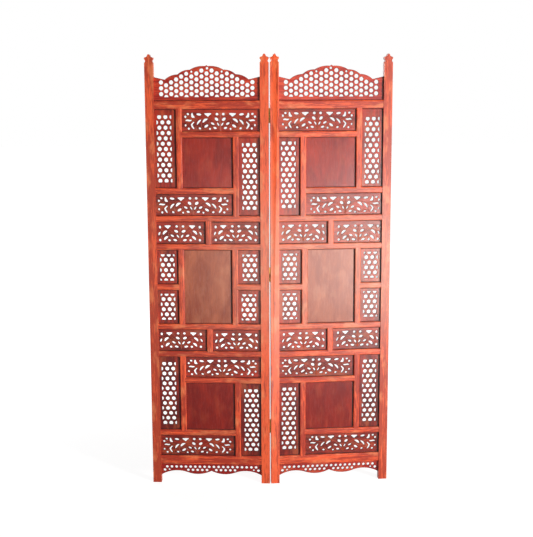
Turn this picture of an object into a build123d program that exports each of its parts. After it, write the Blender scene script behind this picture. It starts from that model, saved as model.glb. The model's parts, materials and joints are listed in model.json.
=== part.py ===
"""Two-leaf folding jali screen in carved and stained hardwood.

Each leaf is two posts with sawn finials, six rails, fourteen muntins and nineteen loose
panels, under a scalloped honeycomb crest and over a scalloped honeycomb apron. Three butt
hinges join the two middle posts behind their back faces, so the leaves fold back to back.

Millimetres, +Z up, front towards -Y. The origin is on the floor, in the middle of the
screen's footprint. The two leaves are mirror images, and each is drawn on a plane whose
X runs from the hinge axis to the outer post and whose Y runs up the leaf.
"""

from build123d import *
import os
from math import cos, radians, sin, sqrt

# Leaf and frame
leaf_width = 508.0
post_width = 36.0
post_depth = 26.0
bar_depth = 23.0
top_rail_height = 35.0
bottom_rail_height = 40.0
frieze_rail_height = 26.0
muntin_width = 26.0
floor_clearance = 82.0
post_above_top_rail = 188.0

# Cells between the bars, as seen from the front
centre_cell_width = 208.0
middle_inner_cell_width = 95.0
pinwheel_centre_height = 207.0
long_vine_height = 90.0
frieze_height = 93.0
small_comb_height = 145.0

# Joinery
panel_thickness = 7.0
panel_clearance = 0.1
groove_depth = 7.0
groove_bottom_gap = 0.8
rail_tenon_length = 18.0
muntin_tenon_length = 6.2
mortise_end_gap = 0.5

# Finials, sawn from the tops of the posts
finial_height = 35.0
finial_tip_width = 7.0
finial_tip_crown = 1.5
finial_flank_reach = 8.0
finial_flank_drop = 11.0
finial_lobe_drop = 14.0
finial_lobe_height = 7.0
finial_notch_depth = 4.0

# Crest outline: reaches from the middle of the leaf outwards, rises above the top rail
crest_peak_rise = 143.0
crest_peak_reach = 6.0
crest_crown_rise = 139.0
crest_cusp_reaches = (69.0, 119.0, 172.0)
crest_cusp_rises = (124.5, 106.0, 85.0)
crest_end_rise = 89.0
crest_scallop_bulge = 6.5

# Apron outline: reaches from the middle of the leaf outwards, drops below the bottom rail
apron_cusp_drop = 32.0
apron_lobe_reach = 54.0
apron_lobe_drop = 46.5
apron_turn_reach = 106.0
apron_turn_drop = 38.0
apron_arch_reach = 162.0
apron_arch_drop = 31.5
apron_end_drop = 50.0

# Honeycomb of the crest: hexagons with two corners to the sides, in upright columns
crest_column_pitch = 20.85
crest_row_pitch = 23.5
crest_hole_radius = 10.0
crest_hole_sides = 6
crest_lowest_rise = 26.75
crest_side_border = 24.0
crest_edge_border = 7.0

# Honeycomb of the tall and small panels, in level rows of whole cells
comb_pitch = 25.2
comb_hole_radius = 10.6
comb_hole_sides = 4
comb_side_border = 12.5
comb_end_border = 24.0
small_comb_end_border = 12.0

# Holes of the apron
apron_hole_pitch = 20.4
apron_hole_drop = 13.0
apron_hole_radius = 6.5
apron_hole_sides = 4
apron_side_border = 12.0

# Hinges and the fold
fold_angle = 8.7
hinge_gap = 2.0
hinge_count = 3
hinge_end_distance = 250.0
knuckle_sides = 8
hinge_height = 60.0
hinge_plate_depth = 20.0
hinge_plate_thickness = 1.6
hinge_plate_clearance = 0.1
hinge_axis_standoff = 4.6
knuckle_radius = 4.0
knuckle_gap = 0.3
pin_radius = 1.5
pin_clearance = 0.05
pin_end_stand = 1.0

# Heights of the bars, from the floor up
groove_width = panel_thickness + 2 * panel_clearance
panel_tongue = groove_depth - groove_bottom_gap
pinwheel_height = 2 * (long_vine_height + muntin_width) + pinwheel_centre_height
middle_height = 2 * small_comb_height + muntin_width
lower_pinwheel_z = floor_clearance + bottom_rail_height
lower_frieze_z = lower_pinwheel_z + pinwheel_height + frieze_rail_height
middle_z = lower_frieze_z + frieze_height + frieze_rail_height
upper_frieze_z = middle_z + middle_height + frieze_rail_height
upper_pinwheel_z = upper_frieze_z + frieze_height + frieze_rail_height
top_rail_z = upper_pinwheel_z + pinwheel_height
crest_z = top_rail_z + top_rail_height
post_height = crest_z + post_above_top_rail
rails = {
    "bottom_rail": (floor_clearance, bottom_rail_height),
    "lower_frieze_bottom_rail": (lower_frieze_z - frieze_rail_height, frieze_rail_height),
    "lower_frieze_top_rail": (middle_z - frieze_rail_height, frieze_rail_height),
    "upper_frieze_bottom_rail": (upper_frieze_z - frieze_rail_height, frieze_rail_height),
    "upper_frieze_top_rail": (upper_pinwheel_z - frieze_rail_height, frieze_rail_height),
    "top_rail": (top_rail_z, top_rail_height),
}

# Places across the leaf, from the hinge axis outwards
hinge_post_x = hinge_gap / 2
inner_x = hinge_post_x + post_width
outer_post_x = hinge_post_x + leaf_width - post_width
clear_width = outer_post_x - inner_x
side_cell_width = (clear_width - centre_cell_width - 2 * muntin_width) / 2
inner_muntin_x = inner_x + side_cell_width
centre_x = inner_muntin_x + muntin_width
outer_muntin_x = centre_x + centre_cell_width
outer_cell_x = outer_muntin_x + muntin_width
middle_muntin_x = inner_x + middle_inner_cell_width
middle_panel_x = middle_muntin_x + muntin_width
middle_panel_width = outer_muntin_x - middle_panel_x
leaf_middle_x = inner_x + clear_width / 2
divider_x = leaf_middle_x - muntin_width / 2
long_vine_width = clear_width - side_cell_width - muntin_width
frieze_cell_width = (clear_width - muntin_width) / 2
tall_comb_height = long_vine_height + muntin_width + pinwheel_centre_height

# The hinge axis is set so that the screen's footprint is centred on the origin
leaf_turn = radians(fold_angle / 2)
axis_to_middle = post_depth / 2 + hinge_axis_standoff
front_reach = (axis_to_middle + post_depth / 2) * cos(leaf_turn) - hinge_post_x * sin(leaf_turn)
back_reach = (hinge_post_x + leaf_width) * sin(leaf_turn) - hinge_axis_standoff * cos(leaf_turn)
axis_y = (front_reach - back_reach) / 2


def leaf_plane(side):
    """The middle plane of a leaf: side is -1 for the left leaf and 1 for the right one."""
    outwards = Vector(side * cos(leaf_turn), sin(leaf_turn), 0)
    forwards = Vector(side * sin(leaf_turn), -cos(leaf_turn), 0)
    origin = Vector(0, axis_y, 0) + forwards * axis_to_middle
    return Plane(origin=origin, x_dir=outwards, z_dir=outwards.cross(Vector(0, 0, 1)))


def hinge_plane(side, height):
    """A level plane at a hinge's middle: X runs outwards along the leaf and Y to its back."""
    outwards = Vector(side * cos(leaf_turn), sin(leaf_turn), 0)
    return Plane(origin=(0, axis_y, height), x_dir=outwards, z_dir=(0, 0, side))


def grooved_bar(leaf, x, z, length, width, tenon_length, upright=False):
    """A frame bar grooved along both edges, with a tenon on each end, from its low corner."""
    turn = 90 if upright else 0
    middle = (x + width / 2, z + length / 2) if upright else (x + length / 2, z + width / 2)
    with BuildPart() as bar:
        with BuildSketch(leaf):
            with Locations(Location(middle, turn)):
                Rectangle(length, width)
        extrude(amount=bar_depth / 2, both=True)
        with BuildSketch(leaf):
            with Locations(Location(middle, turn)):
                with GridLocations(0, width - groove_depth, 1, 2):
                    Rectangle(length, groove_depth)
        extrude(amount=groove_width / 2, both=True, mode=Mode.SUBTRACT)
        with BuildSketch(leaf):
            with Locations(Location(middle, turn)):
                Rectangle(length + 2 * tenon_length, width - 2 * groove_depth)
        extrude(amount=groove_width / 2, both=True)
    return bar.part


def cross_bar(leaf, x, z, length):
    """A level muntin."""
    return grooved_bar(leaf, x, z, length, muntin_width, muntin_tenon_length)


def upright_bar(leaf, x, z, length):
    """An upright muntin."""
    return grooved_bar(leaf, x, z, length, muntin_width, muntin_tenon_length, upright=True)


def panel(leaf, x, z, width, height):
    """A panel that fills a cell and runs into the grooves all round it."""
    with BuildPart() as blank:
        with BuildSketch(leaf):
            with Locations((x + width / 2, z + height / 2)):
                Rectangle(width + 2 * panel_tongue, height + 2 * panel_tongue)
        extrude(amount=panel_thickness / 2, both=True)
    return blank.part


def comb_centres(width, height):
    """Centres of the honeycomb cells that are whole inside a field of this size."""
    row_pitch = comb_pitch * sqrt(3) / 2
    rows = int(height / row_pitch) + 1
    reach = int(width / comb_pitch) + 1
    centres = []
    for row in range(rows):
        up = (row - (rows - 1) / 2) * row_pitch
        shift = comb_pitch / 4 if row % 2 else -comb_pitch / 4
        for column in range(-reach, reach + 1):
            across = column * comb_pitch + shift
            fits_across = abs(across) + comb_hole_radius <= width / 2
            fits_up = abs(up) + comb_hole_radius <= height / 2
            if fits_across and fits_up:
                centres.append((across, up))
    return centres


def comb_panel(leaf, x, z, width, height, end_border):
    """A side-cell panel pierced by a honeycomb inside a plain border."""
    field_width = width - 2 * comb_side_border
    field_height = height - 2 * end_border
    with BuildPart() as pierced:
        add(panel(leaf, x, z, width, height))
        with BuildSketch(leaf):
            with Locations((x + width / 2, z + height / 2)):
                with Locations(*comb_centres(field_width, field_height)):
                    RegularPolygon(comb_hole_radius, comb_hole_sides)
        extrude(amount=panel_thickness, both=True, mode=Mode.SUBTRACT)
    return pierced.part


def post(leaf, x, groove_x, mortise_x, mortise_depth):
    """A post with its finial, the groove for the panels and a mortise for each rail."""
    half = post_width / 2
    middle = x + half
    flank_z = post_height - finial_tip_crown
    flank_foot_z = post_height - finial_flank_drop
    lobe_z = post_height - finial_lobe_drop
    notch_z = lobe_z - finial_lobe_height
    shoulder_z = post_height - finial_height
    groove_foot_z = floor_clearance - apron_end_drop - panel_clearance
    groove_top_z = crest_z + crest_end_rise + panel_clearance
    with BuildPart() as upright:
        with BuildSketch(leaf):
            with BuildLine():
                Polyline(
                    (middle, post_height),
                    (middle + finial_tip_width / 2, flank_z),
                    (middle + finial_flank_reach, flank_foot_z),
                    (middle + half, lobe_z),
                    (middle + half, notch_z),
                )
                ThreePointArc(
                    (middle + half, notch_z),
                    (middle + half - finial_notch_depth, (notch_z + shoulder_z) / 2),
                    (middle + half, shoulder_z),
                )
                Polyline(
                    (middle + half, shoulder_z),
                    (middle + half, 0),
                    (middle, 0),
                    (middle, post_height),
                )
            make_face()
            mirror(about=Plane.YZ.offset(middle))
        extrude(amount=post_depth / 2, both=True)
        with BuildSketch(leaf):
            with Locations((groove_x, groove_foot_z)):
                Rectangle(
                    groove_depth,
                    groove_top_z - groove_foot_z,
                    align=(Align.MIN, Align.MIN),
                )
            for rail_z, rail_height in rails.values():
                with Locations((mortise_x, rail_z + groove_depth)):
                    Rectangle(
                        mortise_depth,
                        rail_height - 2 * groove_depth,
                        align=(Align.MIN, Align.MIN),
                    )
        extrude(amount=groove_width / 2, both=True, mode=Mode.SUBTRACT)
    return upright.part


def hinge_heights():
    """Heights of the hinges' middles, evenly spaced between the end distances."""
    spacing = (post_height - 2 * hinge_end_distance) / (hinge_count - 1)
    return [hinge_end_distance + number * spacing for number in range(hinge_count)]


def recessed_post(side, upright):
    """A hinge post with the recesses that the hinge plates are let into."""
    with BuildPart() as recessed:
        add(upright)
        for height in hinge_heights():
            with BuildSketch(hinge_plane(side, height)):
                with Locations((hinge_post_x, -hinge_axis_standoff)):
                    Rectangle(
                        hinge_plate_thickness,
                        hinge_plate_depth + hinge_plate_clearance,
                        align=(Align.MIN, Align.MAX),
                    )
            extrude(amount=hinge_height / 2 + hinge_plate_clearance, both=True, mode=Mode.SUBTRACT)
    return recessed.part


def crest_outline():
    """The crest board's outline: its scalloped top edge and the tongues at its other edges."""
    half = clear_width / 2
    reaches = (crest_peak_reach, *crest_cusp_reaches)
    rises = (crest_crown_rise, *crest_cusp_rises)
    cusps = [(leaf_middle_x + reach, crest_z + rise) for reach, rise in zip(reaches, rises)]
    with BuildSketch() as outline:
        with BuildLine():
            Line((leaf_middle_x, crest_z + crest_peak_rise), cusps[0])
            for start, end in zip(cusps, cusps[1:]):
                SagittaArc(start, end, crest_scallop_bulge)
            Polyline(
                cusps[-1],
                (leaf_middle_x + half, crest_z + crest_end_rise),
                (leaf_middle_x + half + panel_tongue, crest_z + crest_end_rise),
                (leaf_middle_x + half + panel_tongue, crest_z - panel_tongue),
                (leaf_middle_x, crest_z - panel_tongue),
                (leaf_middle_x, crest_z + crest_peak_rise),
            )
        make_face()
        mirror(about=Plane.YZ.offset(leaf_middle_x))
    return outline.sketch


def apron_outline():
    """The apron board's outline: its waved bottom edge and the tongues at its other edges."""
    half = clear_width / 2
    end = (leaf_middle_x + half, floor_clearance - apron_end_drop)
    arch = (leaf_middle_x + apron_arch_reach, floor_clearance - apron_arch_drop)
    turn = (leaf_middle_x + apron_turn_reach, floor_clearance - apron_turn_drop)
    lobe = (leaf_middle_x + apron_lobe_reach, floor_clearance - apron_lobe_drop)
    cusp = (leaf_middle_x, floor_clearance - apron_cusp_drop)
    with BuildSketch() as outline:
        with BuildLine():
            ThreePointArc(cusp, lobe, turn)
            ThreePointArc(turn, arch, end)
            Polyline(
                end,
                (end[0] + panel_tongue, end[1]),
                (end[0] + panel_tongue, floor_clearance + panel_tongue),
                (leaf_middle_x, floor_clearance + panel_tongue),
                cusp,
            )
        make_face()
        mirror(about=Plane.YZ.offset(leaf_middle_x))
    return outline.sketch


def clear_of_edge(outline, centres, clearance):
    """Those centres that lie inside an outline, at least this far from its edge."""
    edge = outline.face().outer_wire()
    inside = [centre for centre in centres if outline.face().is_inside(Vector(*centre))]
    return [centre for centre in inside if edge.distance_to(Vertex(*centre)) >= clearance]


def crest(leaf):
    """The crest board, pierced by a honeycomb that stops short of its scalloped edge."""
    outline = crest_outline()
    columns = int((clear_width / 2 - crest_side_border) / crest_column_pitch)
    rows = int((crest_peak_rise - crest_lowest_rise) / crest_row_pitch) + 1
    centres = []
    for column in range(-columns, columns + 1):
        across = leaf_middle_x + column * crest_column_pitch
        lowest = crest_z + crest_lowest_rise + (0 if column % 2 else crest_row_pitch / 2)
        for row in range(rows):
            centres.append((across, lowest + row * crest_row_pitch))
    with BuildPart() as board:
        with BuildSketch(leaf):
            add(outline)
            with Locations(*clear_of_edge(outline, centres, crest_hole_radius + crest_edge_border)):
                RegularPolygon(crest_hole_radius, crest_hole_sides, mode=Mode.SUBTRACT)
        extrude(amount=panel_thickness / 2, both=True)
    return board.part


def apron(leaf):
    """The apron board, pierced by a row of holes below the bottom rail."""
    hole_count = int((clear_width - 2 * apron_side_border) / apron_hole_pitch)
    with BuildPart() as board:
        with BuildSketch(leaf):
            add(apron_outline())
            with Locations((leaf_middle_x, floor_clearance - apron_hole_drop)):
                with GridLocations(apron_hole_pitch, 0, hole_count, 1):
                    RegularPolygon(apron_hole_radius, apron_hole_sides, mode=Mode.SUBTRACT)
        extrude(amount=panel_thickness / 2, both=True)
    return board.part


def hinge_leaves(side):
    """One side of every hinge: the left side has the outer knuckles, the right the middle one."""
    knuckle_height = (hinge_height - 2 * knuckle_gap) / 3
    with BuildPart() as leaves:
        for height in hinge_heights():
            section = hinge_plane(side, height)
            barrel_height = hinge_height if side < 0 else knuckle_height
            with BuildSketch(section):
                RegularPolygon(knuckle_radius, knuckle_sides)
                with Locations((hinge_post_x, 0)):
                    Rectangle(
                        hinge_plate_thickness,
                        hinge_axis_standoff,
                        align=(Align.MIN, Align.MAX),
                    )
            extrude(amount=barrel_height / 2, both=True)
            if side < 0:
                with BuildSketch(section):
                    with Locations((0, -hinge_axis_standoff)):
                        Rectangle(
                            4 * knuckle_radius,
                            4 * knuckle_radius,
                            align=(Align.CENTER, Align.MIN),
                        )
                extrude(amount=knuckle_height / 2 + knuckle_gap, both=True, mode=Mode.SUBTRACT)
            with BuildSketch(section):
                with Locations((hinge_post_x, -hinge_axis_standoff)):
                    Rectangle(
                        hinge_plate_thickness,
                        hinge_plate_depth,
                        align=(Align.MIN, Align.MAX),
                    )
            extrude(amount=hinge_height / 2, both=True)
            with BuildSketch(section):
                RegularPolygon(pin_radius + pin_clearance, knuckle_sides, major_radius=False)
            extrude(amount=hinge_height, both=True, mode=Mode.SUBTRACT)
    return leaves.part


def hinge_pins():
    """The pins, standing a little proud of the knuckles at both ends."""
    with BuildPart() as pins:
        for height in hinge_heights():
            with BuildSketch(Plane.XY.offset(height)):
                with Locations((0, axis_y)):
                    Circle(pin_radius)
            extrude(amount=hinge_height / 2 + pin_end_stand, both=True)
    return pins.part


def pinwheel_bars(leaf, z):
    """Four muntins, each running past the next round the central cell of a pinwheel zone."""
    lower_bar_z = z + long_vine_height
    upper_bar_z = lower_bar_z + muntin_width + pinwheel_centre_height
    outer_foot_z = lower_bar_z + muntin_width
    return [
        upright_bar(leaf, outer_muntin_x, outer_foot_z, z + pinwheel_height - outer_foot_z),
        upright_bar(leaf, inner_muntin_x, z, upper_bar_z - z),
        cross_bar(leaf, inner_x, upper_bar_z, outer_muntin_x - inner_x),
        cross_bar(leaf, centre_x, lower_bar_z, outer_post_x - centre_x),
    ]


def middle_bars(leaf):
    """Two uprights beside the tall middle panel and a cross bar outside each."""
    bar_z = middle_z + small_comb_height
    return [
        upright_bar(leaf, middle_muntin_x, middle_z, middle_height),
        upright_bar(leaf, outer_muntin_x, middle_z, middle_height),
        cross_bar(leaf, inner_x, bar_z, middle_inner_cell_width),
        cross_bar(leaf, outer_cell_x, bar_z, side_cell_width),
    ]


def write(name, pieces):
    """Writes one node: a single solid, or a group of separate solids."""
    piece = pieces[0] if len(pieces) == 1 else Compound(children=pieces)
    piece.label = name
    export_step(piece, f"parts/{name}.step")


def write_leaf(side_name, side):
    """Writes every node of one leaf."""
    leaf = leaf_plane(side)
    mortise_depth = rail_tenon_length + mortise_end_gap
    hinge_post = post(
        leaf, hinge_post_x, inner_x - groove_depth, inner_x - mortise_depth, mortise_depth
    )
    nodes = {
        "hinge_post": [recessed_post(side, hinge_post)],
        "outer_post": [post(leaf, outer_post_x, outer_post_x, outer_post_x, mortise_depth)],
        "crest_jali": [crest(leaf)],
        "apron_jali": [apron(leaf)],
        "middle_bars": middle_bars(leaf),
        "middle_plain_panel": [
            panel(leaf, middle_panel_x, middle_z, middle_panel_width, middle_height)
        ],
        "small_honeycombs": [
            comb_panel(leaf, x, z, width, small_comb_height, small_comb_end_border)
            for x, width in ((inner_x, middle_inner_cell_width), (outer_cell_x, side_cell_width))
            for z in (middle_z, middle_z + small_comb_height + muntin_width)
        ],
    }
    for name, (z, height) in rails.items():
        nodes[name] = [grooved_bar(leaf, inner_x, z, clear_width, height, rail_tenon_length)]
    for name, z in (("lower", lower_pinwheel_z), ("upper", upper_pinwheel_z)):
        centre_z = z + long_vine_height + muntin_width
        top_vine_z = centre_z + pinwheel_centre_height + muntin_width
        nodes[f"{name}_pinwheel_bars"] = pinwheel_bars(leaf, z)
        nodes[f"{name}_plain_panel"] = [
            panel(leaf, centre_x, centre_z, centre_cell_width, pinwheel_centre_height)
        ]
        nodes[f"{name}_long_vine_top"] = [
            panel(leaf, inner_x, top_vine_z, long_vine_width, long_vine_height)
        ]
        nodes[f"{name}_long_vine_bottom"] = [
            panel(leaf, centre_x, z, long_vine_width, long_vine_height)
        ]
        nodes[f"{name}_tall_honeycombs"] = [
            comb_panel(leaf, x, foot_z, side_cell_width, tall_comb_height, comb_end_border)
            for x, foot_z in ((inner_x, z), (outer_cell_x, centre_z))
        ]
    for name, z in (("lower", lower_frieze_z), ("upper", upper_frieze_z)):
        nodes[f"{name}_frieze_divider"] = [upright_bar(leaf, divider_x, z, frieze_height)]
        nodes[f"{name}_frieze_vines"] = [
            panel(leaf, x, z, frieze_cell_width, frieze_height)
            for x in (inner_x, divider_x + muntin_width)
        ]
    for name, pieces in nodes.items():
        write(f"{side_name}_{name}", pieces)


os.makedirs("parts", exist_ok=True)
write_leaf("left", -1)
write_leaf("right", 1)
write("hinge_leaves_left", [hinge_leaves(-1)])
write("hinge_leaves_right", [hinge_leaves(1)])
write("hinge_pins", [hinge_pins()])
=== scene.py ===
"""Dresses the two-leaf jali screen: rounded and stained bars, pierced honeycomb and vine panels,
brass butt hinges with their screws, studio light from the right, floor and camera.

Pieces are drawn in millimetres on a leaf's own axes: X runs from the hinge axis to the outer
post, Y from the front to the back with 0 in the middle of the leaf's thickness, and Z up.
Materials, lamps and the camera work in metres on the screen's axes.
"""
import json
import random
from math import atan2, cos, hypot, pi, radians, sin

import bmesh
import bpy
from mathutils import Matrix, Vector


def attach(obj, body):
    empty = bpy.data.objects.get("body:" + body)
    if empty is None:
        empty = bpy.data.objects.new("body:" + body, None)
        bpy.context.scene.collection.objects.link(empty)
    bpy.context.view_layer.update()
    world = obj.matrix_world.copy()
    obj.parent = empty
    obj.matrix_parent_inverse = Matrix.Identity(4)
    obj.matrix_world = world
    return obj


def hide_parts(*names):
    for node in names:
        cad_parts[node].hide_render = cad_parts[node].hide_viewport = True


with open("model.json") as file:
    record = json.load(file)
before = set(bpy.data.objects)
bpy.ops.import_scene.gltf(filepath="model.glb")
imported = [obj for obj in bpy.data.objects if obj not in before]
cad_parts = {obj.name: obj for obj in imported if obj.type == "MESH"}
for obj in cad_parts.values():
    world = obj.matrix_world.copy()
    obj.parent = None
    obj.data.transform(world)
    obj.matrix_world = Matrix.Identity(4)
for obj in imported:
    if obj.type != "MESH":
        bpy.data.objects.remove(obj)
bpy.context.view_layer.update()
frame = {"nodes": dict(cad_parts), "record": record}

chance = random.Random(7)

# Meshes: what is closer than SAME_PLACE is at one place. Angles here and below are in degrees.
MM = 0.001
SAME_PLACE = 0.01
CURVE_MERGE = 0.005
FLAT_ANGLE = 1.0
SHARP_ANGLE = 32.0

# Posts and bars
HINGE_GAP = 2.0
POST_WIDTH = 36.0
POST_DEPTH = 26.0
POST_ROUND = 2.4
POST_ROUND_STEPS = 4
POST_WEAR = 0.3
BAR_ROUND = 4.5
BAR_ROUND_STEPS = 5
BAR_WEAR = 0.2
SHORTEST_BAR_EDGE = 18.0
COPE = 4.5
SHOULDER_REACH = 0.05
FINIAL_HEIGHT = 34.0
FINIAL_ROUND = 3.0
FINIAL_ANGLE = 14.3

# Panels
PANEL_THICKNESS = 7.0
PANEL_TONGUE = 6.2
RIM_CHAMFER = 1.1
STEM_RADIUS = 1.15
VEIN_RADIUS = 0.7
STEM_TAPER = 0.5
STEM_SMOOTHNESS = 4
STEM_WEAR = 0.7
PETAL_STEPS = 7
PETAL_BLUNTNESS = 0.62

# Honeycomb of the tall and small panels
COMB_PITCH = 25.7
COMB_ROW_PITCH = 21.9
COMB_HOLE = 16.6
COMB_SIDE_COLUMNS = 2
COMB_FIELD_HALF_WIDTH = 31.0
SMALLEST_CUT_CELL = 3.0
TALL_COMB_ROWS = 13
TALL_COMB_CUT = 6.5
SMALL_COMB_ROWS = 6
SMALL_COMB_CUT = 1.5
CELL_STEPS = 24
CELL_CORNER_REACH = 0.53

# Crest: rises are from the top rail, and reaches from the middle of the leaf
CREST_PEAK_RISE = 143.0
CREST_CROWN_RISE = 139.0
CREST_PEAK_REACH = 6.0
CREST_CUSP_REACHES = (69.0, 119.0, 172.0)
CREST_CUSP_RISES = (124.5, 106.0, 85.0)
CREST_END_RISE = 96.0
CREST_SCALLOP_BULGE = 5.5
CREST_SCALLOP_STEPS = 10
CREST_COLUMN_PITCH = 20.85
CREST_ROW_PITCH = 23.5
CREST_SIDE_COLUMNS = 9
CREST_HOLE = 16.8
CREST_LOWEST_RISE = 27.0
CREST_FIELD_RISE = 14.5
CREST_BORDER = 7.0
CREST_EDGE_STEP = 4.0
SMALLEST_HOLE = 7.0

# Apron: drops are from the bottom rail, and reaches from the middle of the leaf
APRON_CUSP_DROP = 32.0
APRON_LOBE_REACH = 54.0
APRON_LOBE_DROP = 46.5
APRON_TURN_REACH = 106.0
APRON_TURN_DROP = 38.0
APRON_ARCH_REACH = 162.0
APRON_ARCH_DROP = 31.5
APRON_END_DROP = 50.0
APRON_WAVE_STEPS = 12
APRON_HOLE = 11.5
APRON_HOLE_PITCH = 20.4
APRON_HOLE_DROP = 14.5
APRON_ROWS = 2
APRON_ROW_PITCH = 14.5
APRON_SIDE_COLUMNS = 11
APRON_BORDER = 4.5
APRON_SIDE_BORDER = 8.0

# Hinges: plates lie between the posts, and SCREW_SEATS are places back and up on a plate
HINGE_AXIS_BACK = 17.6
HINGE_HEIGHT = 60.0
KNUCKLE_RADIUS = 4.0
KNUCKLE_GAP = 0.3
PIN_RADIUS = 1.5
PIN_BORE = 1.55
PIN_DOME = 0.7
PIN_DOME_STEPS = 3
PLATE_FACE = 1.0
PLATE_THICKNESS = 1.6
PLATE_FRONT = -7.0
PLATE_BACK = 13.2
PLATE_ROLL = 15.5
PLATE_CHAMFER = 0.25
SCREW_SEATS = ((7.5, -20.0), (-1.5, 0.0), (7.5, 20.0))
SCREW_RADIUS = 3.0
SCREW_SLOT = 0.45
SCREW_HEAD = 0.7
SCREW_PLAY = 0.1
SCREW_SUNK = 0.08
ROUND_STEPS = 32

# Stain, lacquer, painted shade and painted sheen: heights and places across, in metres, between
# which they change
LACQUER_SHINE = 0.2
# Painted shade in the corners between panels and bars, wider on the key light's side, where the
# bars cast shadows
CORNER_SHADE_REACH = 0.0045
CORNER_SHADOW_SHIFT = 0.0025
# Painted shade that darkens the wood towards the floor, and the heights over which it goes
LOW_PAINTED_SHADE = 0.27
LOW_SHADE_HEIGHTS = (0.1, 0.9)
# Painted sheen: a paler patch at window height on the window's side
SHEEN_ACROSS = (-0.5, 0.1)
SHEEN_BEGINS = (0.5, 0.9)
SHEEN_ENDS = (1.0, 1.4)
PORE_DEPTH = 0.3
# How dark the painted shade on the holes' walls is
HOLE_PAINTED_SHADE = 0.85

# Light and floor
EVEN_LIGHT = 0.08
SHOWN_TO = ("Camera", "Glossy", "Transmission")
BLACK = (0.0, 0.0, 0.0, 1.0)
WHITE = (1.0, 1.0, 1.0, 1.0)
FLOOR_GREY = (0.3, 0.3, 0.3, 1.0)
FLOOR_SIZE = 30.0
FLOOR_GLOW = 0.85
FLOOR_CLEARS = (0.9, 2.6)

# Camera and picture: turns are in degrees
PICTURE_LONG_SIDE = 537
FOCAL_PIXELS = 1038.2
SENSOR = 36.0
CAMERA_PLACE = (-0.1438, -4.3193, 1.6628)
CAMERA_YAW = 1.729
CAMERA_PITCH = -9.488
CAMERA_ROLL = -0.216
CAMERA_REACH = 200.0


# ---------------------------------------------------------------- leaf axes

SIDES = {"left": -1, "right": 1}
feet = {mount["name"]: Vector(mount["pos_m"]) for mount in frame["record"]["mounts"]}


def leaf_axes(side_name):
    """The matrix that takes millimetres on a leaf's own axes to the frame's metres."""
    inner = feet[f"foot_{side_name}_middle"]
    outwards = (feet[f"foot_{side_name}_outer"] - inner).normalized()
    side = SIDES[side_name]
    backwards = Vector((-side * outwards.y, side * outwards.x, 0))
    origin = inner - outwards * (HINGE_GAP + POST_WIDTH) / 2 * MM
    turn = Matrix((outwards, backwards, Vector((0, 0, 1)))).transposed().to_4x4()
    return Matrix.Translation(origin) @ turn @ Matrix.Scale(MM, 4)


AXES = {name: leaf_axes(name) for name in SIDES}


def read_node(side_name, node):
    """A bmesh of a CAD node on its leaf's axes, its triangles joined into flat faces."""
    shape = bmesh.new()
    shape.from_mesh(frame["nodes"][node].data)
    shape.transform(AXES[side_name].inverted())
    if side_name == "left":
        bmesh.ops.reverse_faces(shape, faces=shape.faces)
    bmesh.ops.remove_doubles(shape, verts=shape.verts, dist=SAME_PLACE)
    bmesh.ops.dissolve_limit(
        shape,
        angle_limit=radians(FLAT_ANGLE),
        verts=shape.verts,
        edges=shape.edges,
    )
    return shape


def solids(shape):
    """The separate solids of a bmesh, each as a list of its vertices."""
    waiting = set(shape.verts)
    groups = []
    while waiting:
        found = [waiting.pop()]
        for vertex in found:
            for edge in vertex.link_edges:
                other = edge.other_vert(vertex)
                if other in waiting:
                    waiting.remove(other)
                    found.append(other)
        groups.append(found)
    return sorted(groups, key=lambda group: tuple(corner(group, min)))


def corner(vertices, pick):
    """The lowest or highest corner of some vertices."""
    return Vector(pick(vertex.co[axis] for vertex in vertices) for axis in range(3))


def boxes(side_name, node):
    """The lowest and highest corners of each solid of a CAD node, on its leaf's axes."""
    shape = read_node(side_name, node)
    found = [(corner(group, min), corner(group, max)) for group in solids(shape)]
    shape.free()
    return found


# ---------------------------------------------------------------- materials

def tint(red, green, blue):
    """A screen colour, 0 to 255, as the linear colour that the shader takes."""
    shares = (level / 255 for level in (red, green, blue))
    linear = (
        share / 12.92 if share < 0.04045 else ((share + 0.055) / 1.055) ** 2.4
        for share in shares
    )
    return (*linear, 1.0)


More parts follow.
